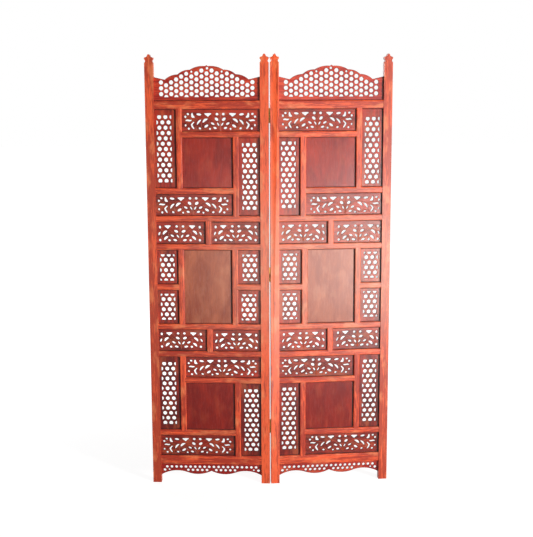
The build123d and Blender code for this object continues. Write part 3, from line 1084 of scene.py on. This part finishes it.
def stem(points, radius):
    """A round stem half sunk in a panel's front, tapered at its end."""
    path = bpy.data.curves.new("stem", "CURVE")
    path.dimensions = "3D"
    path.bevel_depth = radius
    path.bevel_resolution = 1
    path.resolution_u = STEM_SMOOTHNESS
    path.use_fill_caps = True
    spline = path.splines.new("BEZIER")
    spline.bezier_points.add(len(points) - 1)
    for knot, (x, z) in zip(spline.bezier_points, points):
        knot.co = (x, -PANEL_THICKNESS / 2, z)
        knot.handle_left_type = knot.handle_right_type = "AUTO"
    spline.bezier_points[-1].radius = STEM_TAPER
    shape = as_mesh(path)
    worn, = layers(shape, "worn")
    for vertex in shape.verts:
        vertex[worn] = STEM_WEAR
    return shape


def on_both_sides(lines, middle_x, middle_z):
    """Lines of points drawn from a panel's middle, each one and its mirror image."""
    return [
        [(middle_x + sign * x, middle_z + z) for x, z in line]
        for line in lines
        for sign in (-1, 1)
    ]


def vines(side_name, node, pattern):
    """The vine panels of one node, their piercings and stems mirrored about the middle."""
    half_holes, stems, veins = pattern
    shape = bmesh.new()
    for low, high, (outward, up) in boards(side_name, node):
        middle = ((low.x + high.x) / 2 + outward, (low.z + high.z) / 2 + up)
        board = plate(rectangle(low, high), on_both_sides(half_holes, *middle))
        for lines, radius in ((stems, STEM_RADIUS), (veins, VEIN_RADIUS)):
            for line in on_both_sides(lines, *middle):
                join(board, stem(line, radius))
        mark_cell(board, low, high, side_name)
        join(shape, board)
    finish(node, shape, JALI_WOOD, side_name)


# ---------------------------------------------------------------- hinges

def ring(radius):
    """A closed circle of points about the origin."""
    turns = [2 * pi * step / ROUND_STEPS for step in range(ROUND_STEPS)]
    return [(radius * cos(turn), radius * sin(turn)) for turn in turns]


def knuckle(low_z, high_z):
    """One rolled knuckle of a hinge, bored for the pin."""
    shape = plate(ring(KNUCKLE_RADIUS), [ring(PIN_BORE)], high_z - low_z, PLATE_CHAMFER)
    shape.transform(Matrix.Rotation(radians(90), 4, "X"))
    shape.transform(Matrix.Translation((0, HINGE_AXIS_BACK, (low_z + high_z) / 2)))
    return shape


def hinge_plate(rolls):
    """A hinge's plate with its screw holes, and a tab towards each of its knuckles."""
    half = HINGE_HEIGHT / 2
    outline = [(PLATE_FRONT, half), (PLATE_FRONT, -half)]
    for low_z, high_z in rolls:
        outline += [(PLATE_BACK, low_z), (PLATE_ROLL, low_z)]
        outline += [(PLATE_ROLL, high_z), (PLATE_BACK, high_z)]
    outline += [(PLATE_BACK, half)]
    corners = [point for index, point in enumerate(outline) if point != outline[index - 1]]
    holes = [placed(ring(SCREW_RADIUS), y, z) for y, z in SCREW_SEATS]
    shape = plate(corners, holes, PLATE_THICKNESS, PLATE_CHAMFER)
    shape.transform(Matrix.Rotation(radians(90), 4, "Z"))
    shape.transform(Matrix.Translation((PLATE_FACE + PLATE_THICKNESS / 2, 0, 0)))
    return shape


def screw(y, z, turn):
    """A countersunk screw's head in its seat: two halves beside the slot, on a cone."""
    shape = bmesh.new()
    cone = bmesh.ops.create_cone(
        shape,
        cap_ends=True,
        segments=ROUND_STEPS,
        radius1=SCREW_RADIUS - 2 * SCREW_PLAY,
        radius2=SCREW_RADIUS / 2,
        depth=PLATE_THICKNESS - SCREW_HEAD,
    )
    bmesh.ops.translate(shape, verts=cone["verts"], vec=(0, 0, (PLATE_THICKNESS + SCREW_HEAD) / 2))
    for side in (-1, 1):
        half = bmesh.new()
        radius = SCREW_RADIUS - SCREW_PLAY
        bmesh.ops.create_circle(half, cap_ends=True, segments=ROUND_STEPS, radius=radius)
        bmesh.ops.bisect_plane(
            half,
            geom=[*half.verts, *half.edges, *half.faces],
            plane_co=(0, side * SCREW_SLOT, 0),
            plane_no=(0, -side, 0),
            clear_outer=True,
        )
        bmesh.ops.solidify(half, geom=half.faces[:], thickness=SCREW_HEAD)
        bmesh.ops.recalc_face_normals(half, faces=half.faces)
        lowest = corner(half.verts, min).z
        bmesh.ops.translate(half, verts=half.verts, vec=(0, 0, SCREW_SUNK - lowest))
        join(shape, half)
    shape.transform(Matrix.Rotation(radians(turn), 4, "Z"))
    shape.transform(Matrix.Rotation(radians(90), 4, "Y"))
    shape.transform(Matrix.Translation((PLATE_FACE, y, z)))
    return shape


def hinge_leaves(side_name, heights):
    """One side of every hinge: the left leaf has the outer knuckles, the right the middle one."""
    third = (HINGE_HEIGHT - 2 * KNUCKLE_GAP) / 6
    half = HINGE_HEIGHT / 2
    outer_rolls = [(-half, -third - KNUCKLE_GAP), (third + KNUCKLE_GAP, half)]
    rolls = outer_rolls if side_name == "left" else [(-third, third)]
    shape = bmesh.new()
    for height in heights:
        hinge = hinge_plate(rolls)
        for low_z, high_z in rolls:
            join(hinge, knuckle(low_z, high_z))
        for y, z in SCREW_SEATS:
            join(hinge, screw(y, z, chance.uniform(0, 180)))
        hinge.transform(Matrix.Translation((0, 0, height)))
        join(shape, hinge)
    finish(f"hinge_leaves_{side_name}", shape, BRASS, side_name)


def hinge_pins(pins):
    """The hinge pins, domed at both ends."""
    shape = bmesh.new()
    for low, high in pins:
        pin = bmesh.new()
        bmesh.ops.create_cone(
            pin,
            cap_ends=True,
            segments=ROUND_STEPS,
            radius1=PIN_RADIUS,
            radius2=PIN_RADIUS,
            depth=high.z - low.z,
        )
        ends = [
            edge
            for edge in pin.edges
            if abs(edge.verts[0].co.z - edge.verts[1].co.z) < SAME_PLACE
        ]
        ease(pin, ends, PIN_DOME, PIN_DOME_STEPS)
        pin.transform(Matrix.Translation((0, HINGE_AXIS_BACK, (low.z + high.z) / 2)))
        join(shape, pin)
    finish("hinge_pins", shape, BRASS, "left")


# ---------------------------------------------------------------- the whole screen

BAR_NODES = (
    "bottom_rail",
    "lower_frieze_bottom_rail",
    "lower_frieze_top_rail",
    "upper_frieze_bottom_rail",
    "upper_frieze_top_rail",
    "top_rail",
    "lower_pinwheel_bars",
    "upper_pinwheel_bars",
    "middle_bars",
    "lower_frieze_divider",
    "upper_frieze_divider",
)

for side_name in SIDES:
    for end in ("hinge", "outer"):
        post(side_name, f"{side_name}_{end}_post")
    for name in BAR_NODES:
        bars(side_name, f"{side_name}_{name}")
    for name, wood in (("lower", PANEL_WOOD), ("middle", TAN_SHEEN_PANEL_WOOD), ("upper", PANEL_WOOD)):
        plain_panel(side_name, f"{side_name}_{name}_plain_panel", wood)
    for name in ("lower", "upper"):
        honeycombs(side_name, f"{side_name}_{name}_tall_honeycombs", TALL_COMB_ROWS, TALL_COMB_CUT)
        vines(side_name, f"{side_name}_{name}_frieze_vines", SHORT_VINE)
        for end in ("top", "bottom"):
            vines(side_name, f"{side_name}_{name}_long_vine_{end}", LONG_VINE)
    honeycombs(side_name, f"{side_name}_small_honeycombs", SMALL_COMB_ROWS, SMALL_COMB_CUT)
    crest(side_name, f"{side_name}_crest_jali")
    apron(side_name, f"{side_name}_apron_jali")

pins = boxes("left", "hinge_pins")
for side_name in SIDES:
    hinge_leaves(side_name, [(low.z + high.z) / 2 for low, high in pins])
hinge_pins(pins)


# ---------------------------------------------------------------- stage, light and camera

def shown(start):
    """1 for the rays that see the background, straight or by way of gloss or glass, else 0."""
    rays = (start.node("ShaderNodeLightPath", {}, output=f"Is {kind} Ray") for kind in SHOWN_TO)
    straight, glossy, clear = rays
    return straight.largest(glossy).largest(clear)


def floor():
    """A pale floor that shows white to the camera but keeps the screen's soft shadow."""
    material, shader, start = new_material("pale_floor")
    shader.inputs["Base Color"].default_value = FLOOR_GREY
    shader.inputs["Roughness"].default_value = 0.9
    shader.inputs["Emission Strength"].default_value = 1.0
    place = start.node("ShaderNodeTexCoord", {}, output="Object")
    away = start.node("ShaderNodeVectorMath", {0: place}, output="Value", operation="LENGTH")
    white = shown(start) * (FLOOR_GLOW + away.between(*FLOOR_CLEARS) * (1 - FLOOR_GLOW))
    plug(shader, white.mix(BLACK, WHITE), "Emission Color")
    shape = bmesh.new()
    bmesh.ops.create_grid(shape, x_segments=1, y_segments=1, size=FLOOR_SIZE)
    mesh = bpy.data.meshes.new("floor")
    shape.to_mesh(mesh)
    shape.free()
    mesh.materials.append(material)
    ground = bpy.data.objects.new("floor", mesh)
    bpy.context.scene.collection.objects.link(ground)


def lamp(name, place, target, width, height, watts, gloss_only=False):
    """A soft box at a place, facing a target; it can light the gloss alone."""
    light = bpy.data.lights.new(name, "AREA")
    light.shape = "RECTANGLE"
    light.size = width
    light.size_y = height
    light.energy = watts
    box = bpy.data.objects.new(name, light)
    box.location = place
    facing = Vector(target) - Vector(place)
    box.rotation_euler = facing.to_track_quat("-Z", "Y").to_euler()
    box.visible_camera = False
    box.visible_diffuse = not gloss_only
    bpy.context.scene.collection.objects.link(box)


def surroundings():
    """A white background for the camera and mirrors, and a dimmer even light on the object."""
    world = bpy.data.worlds.new("studio")
    world.use_nodes = True
    bpy.context.scene.world = world
    start = Wire(world.node_tree)
    background = next(node for node in world.node_tree.nodes if node.type == "BACKGROUND")
    background.inputs["Color"].default_value = WHITE
    strength = EVEN_LIGHT + shown(start) * (1 - EVEN_LIGHT)
    world.node_tree.links.new(strength.socket, background.inputs["Strength"])


def camera():
    """The camera, from its place and its yaw, pitch and roll."""
    view = bpy.data.cameras.new("camera")
    view.sensor_width = SENSOR
    view.lens = FOCAL_PIXELS / PICTURE_LONG_SIDE * SENSOR
    view.clip_end = CAMERA_REACH
    stand = bpy.data.objects.new("camera", view)
    yaw = Matrix.Rotation(radians(-CAMERA_YAW), 4, "Z")
    pitch = Matrix.Rotation(radians(90 + CAMERA_PITCH), 4, "X")
    roll = Matrix.Rotation(radians(CAMERA_ROLL), 4, "Z")
    stand.matrix_world = Matrix.Translation(CAMERA_PLACE) @ yaw @ pitch @ roll
    bpy.context.scene.collection.objects.link(stand)
    bpy.context.scene.camera = stand


floor()
surroundings()
lamp("key", (5.3, -5.2, 2.3), (0.0, 0.0, 1.0), 1.8, 1.8, 650.0)
lamp("sheen", (0.2, -3.05, 0.6), (0.1, 0.0, 0.9), 2.0, 1.0, 58.0, gloss_only=True)
lamp("side_sheen", (0.95, -3.05, 0.3), (0.25, 0.0, 0.9), 0.7, 0.6, 9.0, gloss_only=True)
lamp("window", (1.7, -3.05, 0.6), (0.4, 0.0, 0.9), 0.7, 1.2, 130.0, gloss_only=True)
lamp("back", (-1.5, 3.5, 2.2), (0.0, 0.0, 0.9), 2.5, 2.0, 55.0)
camera()
bpy.context.scene.view_settings.view_transform = "Standard"
